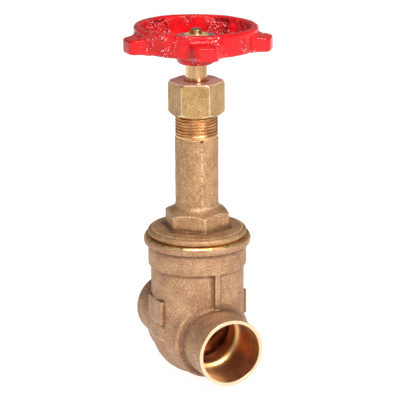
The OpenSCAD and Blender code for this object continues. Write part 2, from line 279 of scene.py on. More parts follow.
def surface(f, low, high, step):
    """Points and quads of the closed surface where f is 0, one vertex in each grid cell that it crosses."""
    low = np.asarray(low, float) - 2.3 * step
    count = [math.ceil((b - a) / step) + 4 for a, b in zip(low, high)]
    field = grid_field(f, low, count, step)
    inside = field < 0
    n = np.array(field.shape)
    total = np.zeros(n - 1, np.int8)
    corners = [(i & 1, i >> 1 & 1, i >> 2 & 1) for i in range(8)]
    for c in corners:
        total += inside[tuple(slice(o, o + m - 1) for o, m in zip(c, n))]
    cells = np.argwhere((total > 0) & (total < 8))
    values = np.stack([field[tuple((cells + c).T)] for c in corners], 1).astype(float)
    offset, hits = np.zeros((len(cells), 3)), np.zeros(len(cells))
    for a in range(8):
        for bit in (1, 2, 4):
            if a & bit:
                continue
            b = a | bit
            cross = (values[:, a] < 0) != (values[:, b] < 0)
            t = values[cross, a] / (values[cross, a] - values[cross, b])
            start, end = np.array(corners[a], float), np.array(corners[b], float)
            offset[cross] += start + t[:, None] * (end - start)
            hits[cross] += 1
    points = low + step * (cells + offset / hits[:, None])
    index = np.full(n - 1, -1, np.int32)
    index[tuple(cells.T)] = np.arange(len(cells))
    quads = []
    for axis in range(3):
        b, c = (axis + 1) % 3, (axis + 2) % 3
        here = [slice(None)] * 3
        there = [slice(None)] * 3
        here[axis], there[axis] = slice(0, -1), slice(1, None)
        change = inside[tuple(here)] != inside[tuple(there)]
        at = np.argwhere(change)
        at = at[(at[:, b] > 0) & (at[:, c] > 0) & (at[:, b] < n[b] - 1) & (at[:, c] < n[c] - 1)]
        leaving = inside[tuple(at.T)]
        ring = []
        for ob, oc in ((-1, -1), (0, -1), (0, 0), (-1, 0)):
            q = at.copy()
            q[:, b] += ob
            q[:, c] += oc
            ring.append(index[tuple(q.T)])
        ring = np.stack(ring, 1)
        ring[~leaving] = ring[~leaving][:, ::-1]
        quads.append(ring)
    quads = np.concatenate(quads)
    edges = np.concatenate([quads[:, [i, (i + 1) % 4]] for i in range(4)])
    valence = np.bincount(edges[:, 0], minlength=len(points)).astype(float)
    for _ in range(RELAX_ROUNDS):
        sums = [np.bincount(edges[:, 0], points[edges[:, 1], k], len(points)) for k in range(3)]
        mean = np.stack(sums, 1)
        points = points + 0.4 * (mean / np.maximum(valence, 1)[:, None] - points)
        g = gradient(f, points)
        length = np.maximum((g ** 2).sum(1), 0.05)
        move = np.clip(f(*points.T) / length, -0.6 * step, 0.6 * step)
        points = points - move[:, None] * g
    return points, quads


def cast(name, f, low, high, step, skin):
    """Closed mesh of f's surface with a cast or forged skin.

    skin gives how far each point stands proud, from its place and its normal. Two attributes tell the
    material where the surface is hollow, for painted shade and grime (cavity), and where edges are painted
    pale as wear and highlight (edge).
    """
    points, quads = surface(f, low, high, step)
    g = gradient(f, points, 0.05)
    normal = g / np.maximum(np.linalg.norm(g, axis=1), 1e-6)[:, None]
    cavity = np.zeros(len(points))
    for reach in (0.8, 2.0, 4.0):
        cavity += np.clip(1 - f(*(points + normal * reach).T) / reach, 0, 1) / 3
    wall, rub = 1.2, 0.7
    thin = np.clip(1 + f(*(points - normal * wall).T) / wall, 0, 1)
    edge = np.clip(1 + f(*(points - normal * rub).T) / rub, 0, 1)
    # Thin walls and hollow corners don't count as edges
    edge *= np.clip(2.75 - thin / 0.2, 0, 1) * np.clip(1 - cavity / 0.3, 0, 1)
    points = points + normal * skin(points, normal)[:, None]
    return make_mesh(name, points, quads, {"cavity": cavity, "edge": edge})


def rings(name, loops, closed=False, angle=40):
    """Mesh from rings of points with the same count, joined in order.

    closed joins the last ring to the first, for a piece with a bore; otherwise both ends are capped.
    """
    loops = np.asarray(loops, float)
    count, around = loops.shape[:2]
    points = loops.reshape(-1, 3)
    i = np.arange(count if closed else count - 1)[:, None]
    j = np.arange(around)[None]
    a, b = i * around + j, i * around + (j + 1) % around
    c = (i + 1) % count * around + (j + 1) % around
    d = (i + 1) % count * around + j
    faces = np.stack([a, b, c, d], -1).reshape(-1, 4)
    if not closed:
        points = np.concatenate([points, [loops[0].mean(0)], [loops[-1].mean(0)]])
        k = np.arange(around)
        first, last = count * around, count * around + 1
        low_cap = np.stack([k, np.full(around, first), (k + 1) % around], 1)
        top = (count - 1) * around
        high_cap = np.stack([top + k, top + (k + 1) % around, np.full(around, last)], 1)
        faces = np.concatenate([np.stack([faces[:, 0], faces[:, 1], faces[:, 2]], 1),
                                np.stack([faces[:, 0], faces[:, 2], faces[:, 3]], 1), low_cap, high_cap])
    obj = make_mesh(name, points, faces)
    obj.data.set_sharp_from_angle(angle=math.radians(angle))
    return obj


def turned(name, profile, closed=True, around=128, axis="z", wobble=None, bevel=0.0, angle=40):
    """Lathe-turned piece. profile is (radius, station) pairs going up the outside and down the bore.

    wobble(angles, radius, station) gives the radius at every angle, for threads and flats.
    """
    theta = np.arange(around) * 2 * math.pi / around
    loops = []
    for radius, station in profile:
        r = np.full(around, float(radius)) if wobble is None else wobble(theta, radius, station)
        u, v, w = r * np.cos(theta), r * np.sin(theta), np.full(around, float(station))
        loops.append(np.stack((u, v, w) if axis == "z" else (w, u, v), 1))
    obj = rings(name, loops, closed, angle)
    if bevel:
        modifier = obj.modifiers.new("edges", "BEVEL")
        modifier.width = bevel * MM
        modifier.segments = 2
        modifier.limit_method = "ANGLE"
        modifier.angle_limit = math.radians(35)
        modifier.harden_normals = True
    return obj


def helix(crest, depth, pitch, low, high, fade=1.0, sharpness=1.6):
    """A wobble that cuts a right-hand thread into the rows whose radius is the crest's."""
    def cut(theta, radius, station):
        if abs(radius - crest) > 1e-6:
            return np.full(len(theta), float(radius))
        phase = station / pitch - theta / (2 * math.pi)
        wave = np.abs(((phase % 1) * 2) - 1)
        groove = np.clip(wave * sharpness - (sharpness - 1) / 2, 0, 1)
        groove = groove * groove * (3 - 2 * groove)
        lead_in = np.clip((station - low) / (fade * pitch), 0, 1)
        run = lead_in * np.clip((high - station) / (0.4 * pitch), 0, 1)
        return radius - depth * groove * run
    return cut


def rows(radius, low, high, step):
    """Profile stations on one radius, close enough together for a thread."""
    return [(radius, z) for z in np.linspace(low, high, max(2, round((high - low) / step) + 1))]


# ---------------------------------------------------------------- body casting

def body_shape(x, y, z):
    ax = np.abs(x)
    rho = np.hypot(x, y)
    pipe = np.hypot(y, z)
    ball = np.sqrt(rho ** 2 + (z * BELLY_R / BOTTOM_R) ** 2) - BELLY_R
    barrel = slab(rho - BELLY_R, between(z, -1, COLLAR_Z + 2), 0.2)
    d = smin(ball, barrel, 1.0)
    boss = slab(pipe - BOSS_R, ax - BOSS_X, 1.7)
    d = smin(d, boss, 2.2)
    cup = slab(pipe - CUP_OUTER_R, ax - (END_X - 0.28), 0.15)
    d = smin(d, cup, 2.4)
    rib = block(x, y, z - 14, (23.3, 1.3, 19.5), 0.35)
    d = smin(d, rib, 0.6)
    pad = block(x, y, z - 12.5, (7.8, 22.55, 5.9), 0.3)
    d = smin(d, pad, 0.3)
    collar = tube(rho, z, COLLAR_R, COLLAR_Z, RIM_Z - 0.7, 0.9)
    d = smin(d, collar, 0.9)
    rim = tube(rho, z, RIM_R - 0.1, RIM_Z - RIM_H, RIM_Z - 0.25, 0.9)
    d = smin(d, rim, 1.1)
    # The room inside
    lean = z * GATE_SLOPE
    drum = np.maximum(np.sqrt(rho ** 2 + np.minimum(z, 0) ** 2) - ROOM_R, z - 32)
    room = smax(drum, ax - ROOM_HALF_T - lean, 1.0)
    seat = smax(pipe - SEAT_R, SEAT_X + lean - ax, 0.4)
    guide = block(x, np.abs(y) - ROOM_R, z - 5, (1.5, 2.2, 25.5), 0.3)
    room = np.maximum(np.maximum(room, -seat), -guide)
    neck = np.maximum(rho - 15.8, between(z, 17, 33))
    thread_bore = tube(rho, z, 20.55, 31, RIM_Z + 4, 0.3)
    port = np.maximum(pipe - (PORT_R + 0.45), ax - CUP_FLOOR_X)
    cup_bore = slab(pipe - (CUP_R + 0.55), between(ax, CUP_FLOOR_X - 0.2, END_X + 4), 0.15)
    pipe_bore = np.minimum(port, cup_bore)
    hollow = np.minimum(np.minimum(room, neck), np.minimum(thread_bore, pipe_bore))
    return smax(d, -hollow, 0.3)


def sand(points, seed):
    """Sand-cast skin: a fine grain on slow waves, in mm."""
    fine = value_noise(points, 0.9, seed) * 0.045 + value_noise(points, 1.7, seed + 1) * 0.04
    slow = value_noise(points, 7.0, seed + 2) * 0.07
    return fine + slow


def body_skin(points, normal):
    x, y, z = points.T
    rho, pipe = np.hypot(x, y), np.hypot(y, z)
    outside = (rho > 21) | (pipe > CUP_R + 1.2) & (np.abs(x) > 12)
    machined = (z > RIM_Z - 0.8) | (np.abs(x) > END_X - 0.8)
    return sand(points, 1) * np.where(outside, 1.0, 0.6) * np.where(machined, 0.25, 1.0)


def socket_liner(side):
    """Bored surface of one cup: face, cup, shoulder and the port behind it."""
    bore, lip = CUP_R, CUP_OUTER_R - 0.02
    back = bore + 0.8
    profile = [
        (bore, CUP_FLOOR_X), (bore, CUP_FLOOR_X + 6), (bore, CUP_FLOOR_X + 12), (bore, END_X - 0.14),
        (bore + 0.14, END_X), (lip - 0.1, END_X), (lip, END_X - 0.1), (lip, END_X - 0.55),
        (back, END_X - 0.55), (back, CUP_FLOOR_X - 0.8), (PORT_R + 0.9, CUP_FLOOR_X - 0.8),
        (PORT_R + 0.9, 8.3), (PORT_R, 8.3), (PORT_R, CUP_FLOOR_X - 4.2), (PORT_R + 0.25, CUP_FLOOR_X - 3.9),
        (PORT_R + 0.25, CUP_FLOOR_X - 0.6), (PORT_R + 0.75, CUP_FLOOR_X)]
    profile = [(r, side * s) for r, s in profile]
    if side < 0:
        profile.reverse()
    end = "outlet" if side > 0 else "inlet"
    return turned(f"body_socket_{end}", profile[::-1], axis="x", around=160)


# ---------------------------------------------------------------- bonnet casting

def seam_height(z):
    """How far the parting line of the bonnet's mould stands proud."""
    return 0.1 + 0.12 * np.sin(z * 1.9) * np.sin(z * 0.53)


def bonnet_shape(x, y, z):
    rho = np.hypot(x, y)
    cone = 51.2 + (21 - rho) * 0.11
    flange = slab(rho - FLANGE_R, np.maximum(z - FLANGE_TOP_Z, RIM_Z - z), 1.5)
    plate = smax(rho - 21.6, np.maximum(z - cone, RIM_Z - z), 0.6)
    d = smin(flange, plate, 0.8)
    crown = 59.1 + np.clip(15.2 - rho, 0, 5) * 0.42
    hex_bar = smax(hexagon(x, y, BONNET_FLATS, CORNER_ANGLE, 0.35), z - crown, 0.5)
    hex_bar = np.maximum(hex_bar, 49.5 - z)
    d = smin(d, hex_bar, 0.5)
    neck = slab(rho - NECK_R, between(z, 50, THREAD_Z), 0.12)
    across = np.abs(-x * math.sin(CORNER_ANGLE) + y * math.cos(CORNER_ANGLE))
    seam_side = across - 0.2 - 0.06 * np.sin(z * 2.7)
    seam_face = np.maximum(rho - NECK_R - seam_height(z), between(z, 55, THREAD_Z))
    seam = slab(seam_side, seam_face, 0.08)
    neck = smin(neck, seam, 0.2)
    d = smin(d, neck, 3.0)
    spigot = tube(rho, z, SPIGOT_R - 1.1, BONNET_LOW[2], RIM_Z + 1, 0.3)
    d = np.minimum(d, spigot)
    # The burr that the thread's cutter left at the parting line
    along = x * math.cos(CORNER_ANGLE) + y * math.sin(CORNER_ANGLE)
    notch = np.maximum(across * 1.3 + (THREAD_Z - 1.5 - z) * 0.8, 8.6 - along)
    d = smax(d, -notch, 0.15)
    # The room inside: open spigot, bell over the gate's head, stem bore and packing chamber
    spigot_room = np.maximum(rho - 17.2 + np.maximum(z - 44, 0) * 1.77, z - 47.6)
    bell = np.maximum(rho - 11 + np.maximum(z - 53.4, 0) * 1.26, between(z, 40, 58))
    chamber = np.maximum(rho - CHAMBER_R, CHAMBER_Z - z)
    stem_room = np.minimum(rho - STEM_R - TURN_GAP, chamber)
    hollow = np.minimum(spigot_room, np.minimum(bell, stem_room))
    return smax(d, -hollow, 0.25)


def bonnet_skin(points, normal):
    rho, z = np.hypot(points[:, 0], points[:, 1]), points[:, 2]
    machined = (rho > 18) & (z < RIM_Z + 0.3) | (z > THREAD_Z - 0.3) | (rho < 9)
    amount = np.where(z > 52, 1.15, 0.75)
    return sand(points, 11) * np.where(machined, 0.2, amount)


# ---------------------------------------------------------------- handwheel

def wheel_shape(x, y, z):
    rho = np.hypot(x, y)
    # The casting is a little warped: its outlet side droops
    along = x * math.cos(WARP_ANGLE) + y * math.sin(WARP_ANGLE)
    z = z + WARP_SLOPE * along * np.clip((rho - HUB_R) / HUB_R, 0, 1)
    top, bottom = WHEEL_HIGH[2], WHEEL_HIGH[2] - WHEEL_H
    inner = WHEEL_R - WHEEL_BAND
    band = slab(between(rho, inner, WHEEL_R), between(z, bottom, top), 1.25)
    hub_bottom, hub_top = WHEEL_LOW[2], PLATE_LOW[2]
    d = tube(rho, z, HUB_R, hub_bottom, hub_top, 1.7)
    d = np.minimum(band, d)
    turn = 2 * math.pi / LUG_COUNT
    phi = np.arctan2(y, x) - LUG_ANGLE
    phi = (phi + turn / 2) % turn - turn / 2
    u, v = rho * np.cos(phi), rho * np.sin(phi)
    # Lug: a tongue with two round corners
    half = LUG_HALF_W - LUG_TAPER * (u - 31)
    plan_u = np.maximum(u - (LUG_TIP_R - LUG_CORNER_R), inner + 1 - u)
    plan_v = np.abs(v) - (half - LUG_CORNER_R)
    outside = np.hypot(np.maximum(plan_u, 0), np.maximum(plan_v, 0))
    plan = outside + np.minimum(np.maximum(plan_u, plan_v), 0) - LUG_CORNER_R
    lug_top = bottom + 6.6 + 0.1 * np.clip(LUG_TIP_R - u, 0, 7)
    lug = slab(plan, between(z, bottom - 0.1, lug_top), 1.0)
    d = smin(d, lug, 1.9)
    # Spoke: rises from the hub's foot to the rim
    share = np.clip((u - SPOKE_ROOT_R) / (inner + 1 - SPOKE_ROOT_R), 0, 1)
    low = hub_bottom + 2.5 + share * (bottom + 0.3 - hub_bottom - 2.5)
    high = hub_top - 3.2 + share * (bottom + 4 - hub_top + 3.2)
    ends = np.maximum(SPOKE_ROOT_R - u, u - inner - 1.5)
    side = np.maximum(between(z, low, high) * 0.93, ends)
    spoke = slab(np.abs(v) - SPOKE_HALF_W, side, 1.1)
    d = smin(d, spoke, 2.2)
    pocket = block(u - inner, v, z - (bottom + 5.2), (1.8, 4.2, 3.8), 1.6)
    d = smax(d, -pocket, 1.3)
    shank = np.maximum(np.abs(x), np.abs(y)) - 3.63
    return smax(d, -shank, 0.2)


def paint_skin(points, normal):
    """Thick gloss over rough iron: slow lumps, with rough patches showing through the paint."""
    rho = np.hypot(points[:, 0], points[:, 1])
    lumps = value_noise(points, 5.5, 31) * 0.11 + value_noise(points, 2.8, 32) * 0.04 - PAINT_SINK
    patches = np.clip(value_noise(points, 9.0, 33) * 2 - 0.1, 0, 1)
    grit = value_noise(points, 0.9, 34) * 0.06 * patches
    return np.where(rho < 5.5, 0.0, lumps + grit)


# ---------------------------------------------------------------- nuts

def packing_nut_shape(x, y, z):
    rho = np.hypot(x, y)
    low, high = NUT_LOW[2], NUT_HIGH[2]
    d = smax(hexagon(x, y, NUT_FLATS, NUT_ANGLE, 0.3), between(z, low, high), 0.25)
    top = (rho - 12.28) * 0.83 + (z - high) * 0.56
    foot = (rho - 10.6) * 0.5 + (low - z) * 0.86
    d = smax(smax(d, top, 0.2), foot, 0.2)
    bore = np.maximum(rho - 10.08, z - (FOLLOWER_HIGH[2] + 0.05))
    hollow = np.minimum(bore, rho - 5.6 + np.maximum(0.5 - (high - z), 0) * -0.8)
    return smax(d, -hollow, 0.25)


def forged(points, normal):
    """Forged skin: shallow, slow waves."""
    return value_noise(points, 3.2, 51) * 0.03 + value_noise(points, 1.2, 52) * 0.012


def bare(points, normal):
    """No skin: the surface as cut."""
    return np.zeros(len(points))


def wheel_nut_shape(x, y, z):
    rho = np.hypot(x, y)
    low, high = WHEEL_NUT_LOW[2], WHEEL_NUT_HIGH[2]
    d = smax(hexagon(x, y, WHEEL_NUT_FLATS, 0, 0.15), between(z, low, high), 0.15)
    d = smax(d, (rho - 4.9) * 0.5 + (z - high) * 0.86, 0.12)
    bore = rho - 2.83 - np.maximum(0.35 - np.minimum(high - z, z - low), 0)
    return smax(d, -bore, 0.1)


# ---------------------------------------------------------------- stem, packing and small turned parts

def stem_wobble(theta, radius, station):
    """Lead thread low down, a square shank in the hub and a fine thread at the top."""
    if LEAD_LOW_Z <= station <= LEAD_HIGH_Z and abs(radius - STEM_R) < 1e-6:
        lead = helix(STEM_R, 1.1, STEM_LEAD, LEAD_LOW_Z, LEAD_HIGH_Z, 0.5, 2.6)
        return lead(theta, radius, station)
    if SHANK_LOW_Z < station < SHANK_HIGH_Z:
        side = 3.6
        square = side / np.maximum(np.abs(np.cos(theta)), np.abs(np.sin(theta)))
        return np.minimum(square, 4.75)
    if station > SHANK_HIGH_Z and abs(radius - STEM_END_R) < 1e-6:
        end = helix(STEM_END_R, 0.32, 0.8, SHANK_HIGH_Z, STEM_HIGH[2] - 0.4, 0.5)
        return end(theta, radius, station)
    return np.full(len(theta), float(radius))


def make_stem():
    low, high = STEM_LOW[2], STEM_HIGH[2]
    profile = [(4.8, low), (5.2, low + 0.4), (5.2, low + 2.8), (4.8, low + 3.2), (3.6, low + 3.25),
               (3.6, 24.3), (4.0, 25.2), (STEM_R, LEAD_LOW_Z)]
    profile += rows(STEM_R, LEAD_LOW_Z + 0.1, LEAD_HIGH_Z, 0.16)
    profile += rows(STEM_R, 66.3, SHANK_LOW_Z - 0.01, 2.5)
    profile += [(4.0, SHANK_LOW_Z + 0.02), (4.0, SHANK_HIGH_Z - 0.02), (STEM_END_R, SHANK_HIGH_Z + 0.01)]
    profile += rows(STEM_END_R, SHANK_HIGH_Z + 0.1, high - 0.55, 0.07)
    profile += [(2.55, high - 0.3), (2.2, high), (1.2, high), (0.5, high - 0.25)]
    return turned("stem_turned", profile, closed=False, around=96, wobble=stem_wobble, angle=32)


def make_neck_thread():
    crest = NECK_THREAD_R
    top = NECK_TOP_Z
    profile = [(9.2, THREAD_Z - 0.4), (crest - 0.05, THREAD_Z - 0.3)]
    profile += rows(crest, THREAD_Z - 0.2, top - 0.9, 0.085)
    profile += [(9.15, top - 0.1), (9.0, top), (CHAMBER_R + 0.3, top), (CHAMBER_R, top - 0.3),
                (CHAMBER_R, CHAMBER_Z + 0.3)]
    wobble = helix(crest, 0.85, NECK_PITCH, THREAD_Z + 0.9, top - 0.9, 1.3)
    return turned("bonnet_neck_thread", profile, around=144, wobble=wobble, angle=60)


def make_spigot_thread():
    crest = SPIGOT_R
    low, high = BONNET_LOW[2] + 0.1, RIM_Z - 1.2
    profile = [(19.2, low)]
    profile += rows(crest, low + 0.9, high - 0.9, 0.14)
    profile += [(19.2, high), (18.6, high), (18.6, low)]
    wobble = helix(crest, 1.0, SPIGOT_PITCH, low + 0.9, high - 0.9)
    return turned("bonnet_spigot_thread", profile, around=144, wobble=wobble, angle=60)


def make_packing_ring(index):
    """Braided cord bent into a square-sided ring: strands cross on every face."""
    low, high = span(f"packing_ring_{index}")
    around, section = 132, 32
    inner, outer = STEM_R + 0.1, CHAMBER_R - 0.02
    theta = np.arange(around) * 2 * math.pi / around
    loops = []
    for s in np.arange(section) * 2 * math.pi / section:
        a, b = math.cos(s), math.sin(s)
        swell = (abs(a) ** 6 + abs(b) ** 6) ** (-1 / 6)
        strands = np.abs(np.sin(theta * 22 + s * 2)) * np.abs(np.sin(theta * 22 - s * 2))
        scale = swell * (0.93 + 0.07 * np.sqrt(strands))
        r = (inner + outer) / 2 + a * (outer - inner) / 2 * scale
        z = (low[2] + high[2]) / 2 + b * (high[2] - low[2]) / 2 * scale
        loops.append(np.stack((r * np.cos(theta), r * np.sin(theta), z), 1))
    return rings(f"packing_braid_{index}", loops, closed=True, angle=80)


def make_follower():
    low, high = FOLLOWER_LOW[2], FOLLOWER_HIGH[2]
    bore, sleeve, flange = STEM_R + TURN_GAP, CHAMBER_R - TURN_GAP, FOLLOWER_HIGH[0]
    under = high - 2.4
    profile = [(bore + 0.8, low), (sleeve, low + 0.5), (sleeve, under - 0.5), (sleeve - 0.2, under),
               (flange, under), (flange, high), (bore, high), (bore, low + 0.5)]
    return turned("follower_turned", profile, around=96, bevel=0.15)


def make_plate():
    """Dished disc under the wheel nut, with a rolled edge and two pressed beads."""
    low, high = PLATE_LOW[2], PLATE_HIGH[2]
    hole, outer, thick = 2.85, PLATE_HIGH[0], 0.6
    flat = 6.0
    radii = np.linspace(hole, outer, 44)
    rise = (high - thick - low) * np.clip((radii - flat) / (outer - flat), 0, 1) ** 1.2
    bead = sum(0.12 * np.exp(-((radii - r) / 0.22) ** 2) for r in (5.35, 8.55))
    upper = [(r, low + thick + h + b - 0.13) for r, h, b in zip(radii, rise, bead)]
    lower = [(r, low + h) for r, h in zip(radii, rise)]
    return turned("plate_disc", lower + upper[::-1], around=96, angle=50)


def make_rim_ring():
    """Faced top of the body's rim."""
    profile = [(20.6, RIM_Z - 0.9), (RIM_R - 0.25, RIM_Z - 0.9), (RIM_R - 0.22, RIM_Z - 0.7),
               (RIM_R - 0.75, RIM_Z), (20.9, RIM_Z), (20.6, RIM_Z - 0.3)]
    return turned("body_rim_face", profile, around=192)


# ---------------------------------------------------------------- materials

def colour(red, green, blue):
    """Linear colour from an sRGB one in 0 to 255."""
    return tuple(((c / 255 + 0.055) / 1.055) ** 2.4 if c > 10 else c / 255 / 12.92
                 for c in (red, green, blue)) + (1.0,)


class Shade:
    """A Principled material and short ways to add the nodes that vary it."""

    def __init__(self, name, metallic=0.0, roughness=0.5, **sockets):
        self.material = bpy.data.materials.new(name)
        self.material.use_nodes = True
        self.tree = self.material.node_tree
        self.shader = next(n for n in self.tree.nodes if n.type == "BSDF_PRINCIPLED")
        self.shader.inputs["Metallic"].default_value = metallic
        self.shader.inputs["Roughness"].default_value = roughness
        for key, value in sockets.items():
            self.shader.inputs[key.replace("_", " ")].default_value = value
        self.where = self.add("TexCoord").outputs["Object"]

    def add(self, kind, **settings):
        node = self.tree.nodes.new("ShaderNode" + kind)
        for key, value in settings.items():
            setattr(node, key, value)
        return node

    def feed(self, socket, value):
        if isinstance(value, bpy.types.NodeSocket):
            self.tree.links.new(value, socket)
        else:
            socket.default_value = value

    def noise(self, size_mm, detail=3, stretch=None, roughness=0.6):
        """Noise whose features are about size_mm across, stretched along an axis if asked."""
        node = self.add("TexNoise")
        node.inputs["Scale"].default_value = 1.0
        node.inputs["Detail"].default_value = detail
        node.inputs["Roughness"].default_value = roughness
        mapping = self.add("Mapping")
        mapping.inputs["Scale"].default_value = [s / (size_mm * MM) for s in (stretch or (1, 1, 1))]
        self.feed(mapping.inputs["Vector"], self.where)
        self.feed(node.inputs["Vector"], mapping.outputs[0])
        return node.outputs["Fac"]

    def along(self, axis):
        node = self.add("SeparateXYZ")
        self.feed(node.inputs[0], self.where)
        return node.outputs[axis]

    def attribute(self, name):
        return self.add("Attribute", attribute_name=name).outputs["Fac"]

    def math(self, operation, a, b=0.0):
        node = self.add("Math", operation=operation)
        self.feed(node.inputs[0], a)
        self.feed(node.inputs[1], b)
        return node.outputs[0]

    def remap(self, value, low, high, to_low=0.0, to_high=1.0):
        node = self.add("MapRange")
        for socket, v in zip(node.inputs, (value, low, high, to_low, to_high)):
            self.feed(socket, v)
        return node.outputs[0]

    def ramp(self, value, *stops):
        """Colours along a value: each stop is (place, colour)."""
        node = self.add("ValToRGB")
        ends = node.color_ramp.elements
        while len(ends) < len(stops):
            ends.new(0.5)
        for element, (at, rgb) in zip(ends, sorted(stops)):
            element.position = at
            element.color = rgb
        self.feed(node.inputs[0], value)
        return node.outputs[0]

    def mix(self, factor, a, b, blend="MIX"):
        node = self.add("Mix", data_type="RGBA", blend_type=blend)
        self.feed(node.inputs[0], factor)
        self.feed(node.inputs[6], a)
        self.feed(node.inputs[7], b)
        return node.outputs[2]

    def bump(self, height, depth_mm, strength=1.0, under=None):
        node = self.add("Bump")
        node.inputs["Strength"].default_value = strength
        node.inputs["Distance"].default_value = depth_mm * MM
        self.feed(node.inputs["Height"], height)
        if under is not None:
            self.feed(node.inputs["Normal"], under)
        return node.outputs[0]

    def finish(self, base=None, rough=None, normal=None):
        for key, value in (("Base Color", base), ("Roughness", rough), ("Normal", normal)):
            if value is not None:
                self.feed(self.shader.inputs[key], value)
        return self.material


def cast_bronze(name, dark, mid, light, brown):
    """Sand-cast bronze: sandy grain, slow patches of tone, painted shade towards the bottom, painted shade
    and brown grime in the corners, edges painted pale as wear and highlight, and a painted shadow beside
    the body's rib.
    """
    s = Shade(name, metallic=0.62, IOR=1.5)
    grain = s.noise(0.75, 5, roughness=0.8)
    patches = s.noise(9.0, 4)
    base = s.ramp(grain, (0.32, dark), (0.50, mid), (0.68, light))
    tone = s.ramp(patches, (0.34, colour(218, 204, 196)), (0.66, colour(255, 255, 250)))
    base = s.mix(1.0, base, tone, "MULTIPLY")
    # Painted shade: darker brown towards the bottom of the belly
    painted_shade_below = s.remap(s.along("Z"), -5 * MM, BODY_LOW[2] * MM, 0.0, 0.6)
    base = s.mix(painted_shade_below, base, brown)
    # Pale edges: partly rubbed wear, partly painted highlight
    bright_edges = s.remap(s.attribute("edge"), *BRIGHT_EDGE_RANGE)
    wear_and_highlight = s.math("MULTIPLY", bright_edges, s.remap(s.noise(1.3, 3), 0.3, 0.58))
    base = s.mix(s.math("MULTIPLY", wear_and_highlight, 0.7), base, colour(250, 216, 170))
    # Painted shade with brown grime: darker in the hollows, by the cavity attribute
    corners = s.remap(s.attribute("cavity"), 0.05, 0.34)
    shade_and_grime = s.math("MULTIPLY", corners, s.remap(s.noise(2.4, 3), 0.3, 0.7, 0.55, 1.0))
    base = s.mix(shade_and_grime, base, brown)
    # Painted shadow: a brown strip in the corner beside the body's rib, where the rib's shadow falls
    beside = s.math("ABSOLUTE", s.math("ADD", s.along("Y"), 2.3 * MM))
    run = s.remap(beside, 0.5 * MM, 1.6 * MM, 0.62, 0.0)
    run = s.math("MULTIPLY", run, s.remap(s.along("X"), 0.0, 8 * MM))
    run = s.math("MULTIPLY", run, s.remap(s.along("Z"), 16 * MM, 21 * MM))
    under = s.remap(s.along("Z"), COLLAR_Z * MM, (COLLAR_Z + 0.5) * MM, 1.0, 0.0)
    run = s.math("MULTIPLY", run, under)
    base = s.mix(run, base, brown)
    rough = s.remap(grain, 0.3, 0.7, 0.62, 0.42)
    normal = s.bump(grain, 0.2, 0.9)
    normal = s.bump(s.noise(0.35, 2), 0.04, 0.6, normal)
    return s.finish(base, rough, normal)


def machined_metal(name, dark, mid, light, axis="Z", pitch_mm=0.5, roughness=0.24, tarnish=None,
                   run=(1, 1, 1), metallic=1.0, grooves=0.5):
    """Turned metal: fine tool lines round one axis, soft streaks that run as asked, a little tarnish."""
    s = Shade(name, metallic=metallic)
    squeeze = {"X": (1, 0.02, 0.02), "Z": (0.02, 0.02, 1)}[axis]
    lines = s.noise(pitch_mm, 2, squeeze)
    streaks = s.noise(3.4, 3, run)
    fine = s.math("MULTIPLY", lines, grooves)
    tone = s.math("ADD", fine, s.math("MULTIPLY", streaks, 1 - grooves))
    base = s.ramp(tone, (0.36, dark), (0.5, mid), (0.62, light))
    if tarnish:
        base = s.mix(s.remap(s.noise(2.8, 4), 0.5, 0.72, 0.0, 0.8), base, tarnish)
    rough = s.remap(s.noise(1.6, 3), 0.3, 0.7, roughness * 0.7, roughness * 1.45)
    normal = s.bump(lines, 0.04 * grooves, 0.5)
    return s.finish(base, rough, normal)


def bored_bronze():
    """Bored cup: pale face, tarnished bore with tool lines, a shoulder painted bright as a highlight and a
    darker port.
    """
    s = Shade("machined_bronze", metallic=1.0)
    lines = s.noise(0.5, 2, (1, 0.02, 0.02))
    streaks = s.noise(4.5, 3, (0.5, 1, 1))
    fine = s.math("MULTIPLY", lines, 0.5)
    tone = s.math("ADD", fine, s.math("MULTIPLY", streaks, 0.5))
    base = s.ramp(tone, (0.38, colour(204, 160, 128)), (0.5, colour(222, 182, 148)),
                  (0.62, colour(240, 206, 168)))
    station = s.math("ABSOLUTE", s.along("X"))
    port = s.remap(station, (CUP_FLOOR_X - 0.9) * MM, (CUP_FLOOR_X - 0.7) * MM, 1.0, 0.0)
    tool_rings = s.remap(s.noise(1.1, 2, (1, 0.02, 0.02)), 0.42, 0.58)
    base = s.mix(s.math("MULTIPLY", port, tool_rings), base, colour(200, 148, 112))
    # Painted highlight: the shoulder ring is painted bright pale yellow
    near = s.math("ABSOLUTE", s.math("SUBTRACT", station, (CUP_FLOOR_X - 0.25) * MM))
    base = s.mix(s.remap(near, 0.4 * MM, 0.5 * MM, 1.0, 0.0), base, colour(255, 238, 190))
    face = s.remap(station, (END_X - 0.16) * MM, (END_X - 0.1) * MM)
    base = s.mix(face, base, colour(238, 206, 168))
    rough = s.remap(s.noise(1.6, 3), 0.3, 0.7, 0.3, 0.42)
    return s.finish(base, rough, s.bump(lines, 0.03, 0.6))


